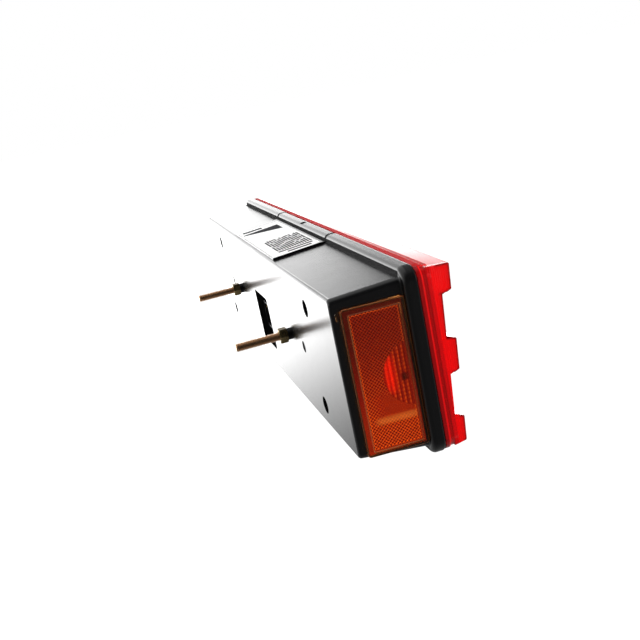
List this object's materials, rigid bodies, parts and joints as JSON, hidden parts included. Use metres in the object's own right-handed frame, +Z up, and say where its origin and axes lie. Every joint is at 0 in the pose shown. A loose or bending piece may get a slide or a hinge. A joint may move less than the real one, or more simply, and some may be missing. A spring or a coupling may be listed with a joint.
{
  "type": "truck tail light",
  "caption": "Long rectangular rear lamp with a stepped, ribbed red lens on a black tub, amber and clear windows, an amber side marker at one end and threaded studs behind.",
  "frame": {"origin": "midway between the two mounting studs, on the plane of their base nuts' outer faces, where the vehicle's bracket seats", "axes": "+X along the lamp to its inner end, lens facing -Y, studs pointing along +Y, +Z up; the amber side marker is on the -X end"},
  "size_m": [0.5998, 0.147, 0.1514],
  "materials": {
    "black_housing": "moulded polypropylene, satin",
    "red_lens": "clear moulded acrylic, polished",
    "amber_lens": "clear moulded acrylic, polished",
    "clear_lens": "clear moulded acrylic, polished",
    "gasket_rubber": "foamed sealing cord",
    "breather_rubber": "moulded rubber",
    "zinc_steel": "yellow zinc plated",
    "screw_steel": "bright zinc plated",
    "metallised_tray": "moulded plastic, vacuum metallised",
    "socket_brass": "pressed, tinned",
    "strip_brass": "pressed strip",
    "pin_brass": "turned, tinned",
    "bulb_glass": "blown glass on a brass base",
    "connector_plastic": "moulded nylon",
    "white_tray": "moulded plastic, white",
    "label_paper": "coated paper, unprinted fields only"
  },
  "bodies": {
    "root": {"housing": "black_housing", "plate_lamp_cover": "black_housing", "lens": "red_lens", "indicator_window": "amber_lens", "side_marker_lens": "amber_lens", "reversing_window": "clear_lens", "lens_gasket": "gasket_rubber", "breather_plugs": "breather_rubber", "mounting_studs": "zinc_steel", "base_nuts": "zinc_steel", "lens_screws": "screw_steel", "tray_screws": "screw_steel", "cover_screw": "screw_steel", "reflector_tray": "metallised_tray", "indicator_socket": "socket_brass", "stop_tail_socket": "socket_brass", "fog_socket": "socket_brass", "reversing_socket": "socket_brass", "earth_strip": "strip_brass", "stop_strip": "strip_brass", "tail_strip": "strip_brass", "indicator_strip": "strip_brass", "fog_strip": "strip_brass", "reversing_strip": "strip_brass", "connector_pins": "pin_brass", "indicator_bulb": "bulb_glass", "stop_tail_bulb": "bulb_glass", "fog_bulb": "bulb_glass", "reversing_bulb": "bulb_glass", "side_marker_bulb": "bulb_glass", "connector_shell": "connector_plastic", "side_marker_socket": "connector_plastic", "side_marker_tray": "white_tray", "label": "label_paper"}
  },
  "joints": []
}
